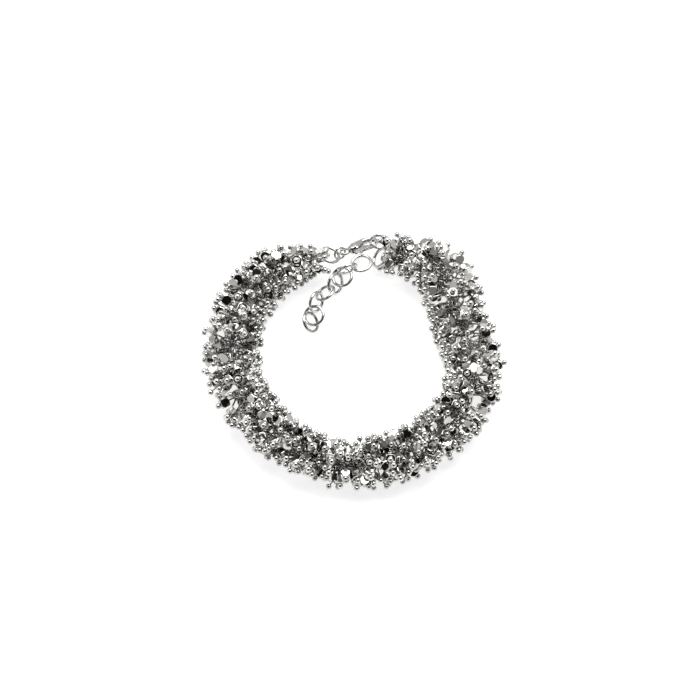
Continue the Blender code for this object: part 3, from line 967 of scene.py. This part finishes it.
def add_floor():
    shape = bmesh.new()
    bmesh.ops.create_grid(shape, x_segments=2, y_segments=2, size=FLOOR_HALF_WIDTH)
    mesh = bpy.data.meshes.new("floor")
    shape.to_mesh(mesh)
    shape.free()
    mesh.materials.append(paper_white())
    floor = bpy.data.objects.new("floor", mesh)
    bpy.context.scene.collection.objects.link(floor)


def add_softbox(softbox):
    """An area light turned to the middle of the bracelet."""
    lamp = bpy.data.lights.new(softbox.name, "AREA")
    lamp.shape = "RECTANGLE"
    lamp.size, lamp.size_y = softbox.size
    lamp.energy = softbox.power
    held = bpy.data.objects.new(softbox.name, lamp)
    held.location = softbox.place
    held.rotation_euler = (-Vector(softbox.place)).to_track_quat("-Z", "Y").to_euler()
    bpy.context.scene.collection.objects.link(held)


def add_stage():
    """A light tent: even white all round, darker where the room shows above the front."""
    add_floor()
    for softbox in SOFTBOXES:
        add_softbox(softbox)
    world = bpy.data.worlds.new("light_tent")
    world.use_nodes = True
    tree = world.node_tree
    background = tree.nodes["Background"]
    way = node(tree, "ShaderNodeTexCoord")
    facing = node(
        tree,
        "ShaderNodeVectorMath",
        {"operation": "DOT_PRODUCT"},
        {0: way, 1: tuple(ROOM_WAY.normalized())},
        output="Value",
    )
    tent = node(
        tree,
        "ShaderNodeMapRange",
        {"interpolation_type": "SMOOTHSTEP"},
        {
            "Value": facing,
            "From Min": ROOM_EDGE[0],
            "From Max": ROOM_EDGE[1],
            "To Min": 1.0,
            "To Max": 0.0,
        },
    )
    colour = node(
        tree,
        "ShaderNodeMix",
        {"data_type": "RGBA"},
        {"Factor": tent, 6: (*ROOM_DARK, 1), 7: (*TENT_WHITE, 1)},
        output=2,
    )
    tree.links.new(colour.socket, background.inputs["Color"])
    bpy.context.scene.world = world
    bpy.context.scene.view_settings.view_transform = "Standard"


def add_camera():
    lens = bpy.data.cameras.new("camera")
    lens.sensor_width = 36.0
    lens.lens = CAMERA_LENS
    lens.clip_start = 0.01
    lens.dof.use_dof = False
    camera = bpy.data.objects.new("camera", lens)
    away = Vector((0, -math.cos(CAMERA_ELEVATION), math.sin(CAMERA_ELEVATION)))
    camera.location = CAMERA_AIM + away * CAMERA_DISTANCE
    camera.rotation_euler = (-away).to_track_quat("-Z", "Y").to_euler()
    bpy.context.scene.collection.objects.link(camera)
    bpy.context.scene.camera = camera


def main():
    add_camera()
    add_stage()
    beads = silver(BEAD_SILVER)
    wire = silver(WIRE_SILVER)
    cast = silver(CAST_SILVER)
    pattern = nugget_pattern()
    trees = {
        "ball": ball_tree(beads),
        "stem": stem_tree(wire),
        "eye": wire_loop_tree(
            "pin_eyes", wire, EYE_RADIUS, WIRE_RADIUS, length_share=1.0, around=10, sides=6
        ),
        "nugget": nugget_tree(beads, pattern),
    }
    half_width = LINK_WIDTH / 2 - LINK_WIRE_RADIUS
    half_length = LINK_LENGTH / 2 - LINK_WIRE_RADIUS
    link = wire_loop_tree(
        "chain_links",
        wire,
        half_width,
        LINK_WIRE_RADIUS,
        length_share=half_length / half_width,
        around=16,
        sides=6,
    )

    band = [
        Vector((x * LOOP_HALF_WIDTH, y * LOOP_HALF_DEPTH, BAND_CENTRE_HEIGHT)) + BAND_SHIFT
        for x, y in ROUTE
    ]
    left_loop, right_loop = end_loops(band)
    path = Path([*band, right_loop[0]])
    middle = path.length / 2
    obstacles = np.concatenate([ring_points(name) for name in RINGS])
    start = FIRST_PIN_AFTER_START
    end = path.length - LAST_PIN_BEFORE_END
    grow_half("left", "cluster_left", path, start, middle, obstacles, LEFT_SEED, trees)
    grow_half("right", "cluster_right", path, middle, end, obstacles, RIGHT_SEED, trees)
    chain = grow_core_chain(path, link)
    finish_piece(chain, "silver_beads", "bracelet", "cluster_left", "cluster_right")
    bpy.data.objects.remove(pattern)

    for index, name in enumerate(RINGS):
        seam_turn = FIRST_SEAM_TURN + SEAM_TURN_STEP * index
        add_ring(name, ring_of(name), cast, seam_turn, name)
    add_ring("left_end_loop", left_loop, wire, END_LOOP_SEAM_TURN, "cluster_left")
    add_ring("right_end_loop", right_loop, wire, END_LOOP_SEAM_TURN, "cluster_right")
    add_clasp(cast)


main()
